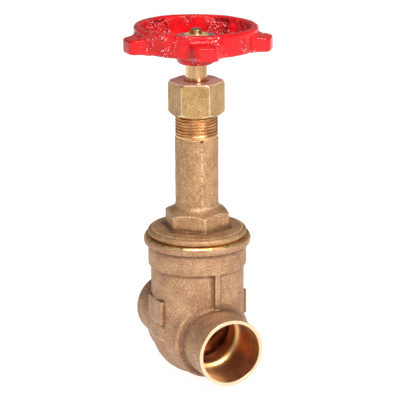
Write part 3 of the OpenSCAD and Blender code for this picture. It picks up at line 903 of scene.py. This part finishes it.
def forged_brass():
    """Packing nut: dull yellow brass with a fine grain, brown stains, a top painted paler as painted light
    and corners painted pale as rubbing and highlight.
    """
    s = Shade("nut_brass", metallic=0.68)
    grain = s.noise(0.5, 3)
    patches = s.noise(4.5, 4)
    base = s.ramp(patches, (0.32, colour(138, 100, 62)), (0.5, colour(164, 126, 80)),
                  (0.7, colour(184, 146, 96)))
    base = s.mix(s.remap(grain, 0.42, 0.6, 0.0, 0.6), base, colour(212, 178, 120))
    stain = s.remap(s.noise(2.6, 3), 0.62, 0.7, 0.0, 0.7)
    base = s.mix(stain, base, colour(136, 96, 62))
    # Painted light: the top of the nut is painted paler, as if lit
    top = s.remap(s.along("Z"), (NUT_HIGH[2] - 0.9) * MM, (NUT_HIGH[2] - 0.2) * MM)
    base = s.mix(s.math("MULTIPLY", top, 0.9), base, colour(250, 216, 192))
    # Pale edges: partly rubbed wear, partly painted highlight
    bright_edges = s.remap(s.attribute("edge"), *BRIGHT_EDGE_RANGE)
    wear_and_highlight = s.math("MULTIPLY", bright_edges, s.remap(s.noise(2.0, 2), 0.3, 0.6, 0.2, 0.75))
    base = s.mix(wear_and_highlight, base, colour(255, 236, 190))
    rough = s.remap(grain, 0.3, 0.7, 0.3, 0.46)
    return s.finish(base, rough, s.bump(grain, 0.08, 0.7, s.bump(s.noise(1.6, 3), 0.05, 0.4)))


def gloss_paint():
    """Thick red gloss over rough iron."""
    s = Shade("red_paint", roughness=0.2, Coat_Weight=0.2, Coat_Roughness=0.05,
              Specular_IOR_Level=0.25)
    patches = s.noise(8.0, 3)
    base = s.ramp(patches, (0.3, colour(178, 12, 18)), (0.55, colour(204, 16, 22)),
                  (0.75, colour(218, 28, 30)))
    # Painted shade: the paint is darker in the hollows
    cavity = s.remap(s.attribute("cavity"), 0.15, 0.6, 0.0, 0.35)
    base = s.mix(cavity, base, colour(150, 14, 20))
    corners = s.math("MULTIPLY", s.attribute("cavity"), 0.5)
    zone = s.remap(s.math("ADD", s.noise(7.5, 2), corners), 0.56, 0.66)
    grit = s.noise(0.72, 2, roughness=0.5)
    normal = s.bump(s.noise(3.0, 2), 0.16, 0.5)
    normal = s.bump(s.math("MULTIPLY", grit, zone), 0.9, 1.0, normal)
    # Painted highlight: pale specks mixed into the colour as glints
    glint = s.math("MULTIPLY", s.remap(grit, 0.6, 0.67, 0.0, 0.9), zone)
    base = s.mix(glint, base, colour(255, 222, 222))
    rough = s.remap(patches, 0.3, 0.7, 0.16, 0.3)
    return s.finish(base, rough, normal)


def graphite_braid():
    s = Shade("packing", metallic=0.1, roughness=0.6)
    grain = s.noise(0.25, 3)
    base = s.ramp(grain, (0.35, colour(28, 28, 30)), (0.7, colour(92, 92, 94)))
    return s.finish(base, s.remap(grain, 0.3, 0.7, 0.7, 0.45), s.bump(grain, 0.05, 0.8))


def sheet_metal():
    """Thin aluminium disc with a fine grain, and reddish patches painted in as the red wheel's reflection.
    """
    s = Shade("plate_aluminium", metallic=0.9)
    grain = s.noise(0.5, 3)
    base = s.ramp(s.noise(3.0, 4), (0.35, colour(176, 172, 168)), (0.65, colour(222, 218, 214)))
    # Painted reflection: reddish patches stand for the red wheel seen in the disc
    base = s.mix(s.remap(s.noise(1.2, 3), 0.6, 0.7, 0.0, 0.6), base, colour(206, 96, 92))
    return s.finish(base, s.remap(grain, 0.3, 0.7, 0.3, 0.5), s.bump(grain, 0.02, 0.5))


def floor_paint():
    s = Shade("studio_floor", roughness=0.7, Emission_Color=(1, 1, 1, 1), Emission_Strength=0.92)
    base = s.ramp(s.noise(60, 3), (0.3, colour(150, 150, 150)), (0.7, colour(158, 158, 158)))
    return s.finish(base)


MATERIALS = {
    "cast_bronze_body": cast_bronze(
        "cast_bronze_body", dark=colour(146, 109, 82), mid=colour(192, 150, 115),
        light=colour(232, 199, 162), brown=colour(104, 68, 46)),
    "cast_bronze_bonnet": cast_bronze(
        "cast_bronze_bonnet", dark=colour(148, 110, 78), mid=colour(192, 151, 110),
        light=colour(234, 200, 156), brown=colour(112, 74, 48)),
    "machined_bronze": bored_bronze(),
    # Painted shade: the gate, deep inside the body, is given dark browns
    "gate_bronze": machined_metal(
        "gate_bronze", colour(84, 46, 28), colour(124, 72, 44), colour(170, 108, 66),
        axis="X", pitch_mm=0.6, roughness=0.34),
    "neck_thread": machined_metal(
        "neck_thread", colour(172, 122, 78), colour(206, 156, 106), colour(240, 196, 140),
        pitch_mm=0.4, roughness=0.34),
    "faced_rim": machined_metal(
        "faced_rim", colour(206, 160, 96), colour(238, 200, 132), colour(255, 232, 172),
        pitch_mm=0.4, roughness=0.3, tarnish=colour(170, 112, 70)),
    # Painted reflection: long pale and dark streaks along the stem stand in for reflected bands of light
    "stem_brass": machined_metal(
        "stem_brass", colour(158, 114, 76), colour(208, 166, 122), colour(255, 232, 184),
        pitch_mm=0.35, roughness=0.18, run=(1, 1, 0.05), grooves=0.15),
    "wheel_nut_brass": machined_metal(
        "wheel_nut_brass", colour(176, 144, 92), colour(222, 192, 134), colour(252, 232, 182),
        roughness=0.4, metallic=0.4),
    "nut_brass": forged_brass(),
    "packing": graphite_braid(),
    "red_paint": gloss_paint(),
    "plate_aluminium": sheet_metal(),
}


# ---------------------------------------------------------------- assembly

def place(obj, body, slot, node=None, material=None):
    """Gives a piece its body and its material slot, and hides the CAD node that it stands for."""
    obj.data.materials.append(MATERIALS[material or slot])
    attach(obj, body)
    if node:
        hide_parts(node)
    return obj


def build_body():
    casting = cast("body_casting", body_shape, BODY_LOW, BODY_HIGH, step=0.59, skin=body_skin)
    place(casting, "valve_body", "cast_bronze_body", "body")
    for side in (-1, 1):
        place(socket_liner(side), "valve_body", "machined_bronze")
    place(make_rim_ring(), "valve_body", "cast_bronze_body", material="faced_rim")


def build_bonnet():
    high = np.array([BONNET_HIGH[0], BONNET_HIGH[1], THREAD_Z])
    casting = cast("bonnet_casting", bonnet_shape, BONNET_LOW, high, step=0.4, skin=bonnet_skin)
    place(casting, "valve_body", "cast_bronze_bonnet", "bonnet")
    place(make_neck_thread(), "valve_body", "cast_bronze_bonnet", material="neck_thread")
    place(make_spigot_thread(), "valve_body", "cast_bronze_bonnet", material="neck_thread")
    for i in range(1, 5):
        ring = place(make_packing_ring(i), "valve_body", "packing", f"packing_ring_{i}")
        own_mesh(ring)


def build_drive():
    place(make_stem(), "wheel_and_stem", "stem_brass", "stem")
    wheel = cast("handwheel_casting", wheel_shape, WHEEL_LOW, WHEEL_HIGH, step=0.4, skin=paint_skin)
    place(wheel, "wheel_and_stem", "red_paint", "handwheel")
    place(make_plate(), "wheel_and_stem", "plate_aluminium", "identification_plate")
    nut = cast("wheel_nut_hex", wheel_nut_shape, WHEEL_NUT_LOW, WHEEL_NUT_HIGH, step=0.14, skin=bare)
    place(nut, "wheel_and_stem", "nut_brass", "wheel_nut", "wheel_nut_brass")
    place(make_follower(), "follower", "stem_brass", "gland_follower")
    nut = cast("packing_nut_forging", packing_nut_shape, NUT_LOW, NUT_HIGH, step=0.26, skin=forged)
    place(nut, "gland_nut", "nut_brass", "packing_nut")
    wedge = frame["nodes"]["wedge"]
    wedge.data.materials.clear()
    wedge.data.materials.append(MATERIALS["gate_bronze"])


# ---------------------------------------------------------------- studio

MIDDLE = Vector((0, 0, 60 * MM))


def towards(azimuth, elevation):
    """Unit vector from the valve to an eye at a view angle, in degrees."""
    a, e = math.radians(azimuth), math.radians(elevation)
    return Vector((math.sin(a) * math.cos(e), -math.cos(a) * math.cos(e), math.sin(e)))


def build_floor():
    """Pale floor that the valve's round bottom rests on."""
    reach = 3000.0
    z = BODY_LOW[2] - 0.2
    corners = [(-reach, -reach, z), (reach, -reach, z), (reach, reach, z), (-reach, reach, z)]
    floor = make_mesh("studio_floor", corners, [[0, 1, 2, 3]])
    floor.data.materials.append(floor_paint())


def soft_light(name, azimuth, elevation, size, power, distance=0.9):
    """Round soft box that looks at the middle of the valve, from a view angle like the camera's."""
    data = bpy.data.lights.new(name, "AREA")
    data.shape = "DISK"
    data.size = size
    data.energy = power
    light = bpy.data.objects.new(name, data)
    light.location = MIDDLE + distance * towards(azimuth, elevation)
    light.rotation_mode = "QUATERNION"
    light.rotation_quaternion = (MIDDLE - light.location).to_track_quat("-Z", "Y")
    bpy.context.scene.collection.objects.link(light)


def build_camera():
    """Camera at the photograph's angle, a little above the pipe's outlet side."""
    out = towards(azimuth=65.86, elevation=16.82)
    roll = math.radians(0.34)
    distance = 0.80339
    data = bpy.data.cameras.new("camera")
    data.lens = 152.62
    data.sensor_width = 36
    data.shift_x = 0.0074
    data.shift_y = 0.0206
    data.clip_end = 20
    camera = bpy.data.objects.new("camera", data)
    camera.location = MIDDLE + distance * out
    camera.rotation_mode = "QUATERNION"
    camera.rotation_quaternion = (-out).to_track_quat("-Z", "Y") @ Quaternion((0, 0, 1), -roll)
    bpy.context.scene.collection.objects.link(camera)
    bpy.context.scene.camera = camera


def build_studio():
    build_floor()
    build_camera()
    world = bpy.data.worlds.new("studio")
    world.use_nodes = True
    background = next(n for n in world.node_tree.nodes if n.type == "BACKGROUND")
    background.inputs["Color"].default_value = (1, 1, 1, 1)
    background.inputs["Strength"].default_value = 0.22
    bpy.context.scene.world = world
    soft_light("key", azimuth=96, elevation=32, size=0.26, power=7.2)
    soft_light("front", azimuth=66, elevation=50, size=0.45, power=4.3)
    soft_light("fill", azimuth=16, elevation=24, size=0.3, power=0.25)
    bpy.context.scene.view_settings.view_transform = "Standard"


build_body()
build_bonnet()
build_drive()
build_studio()
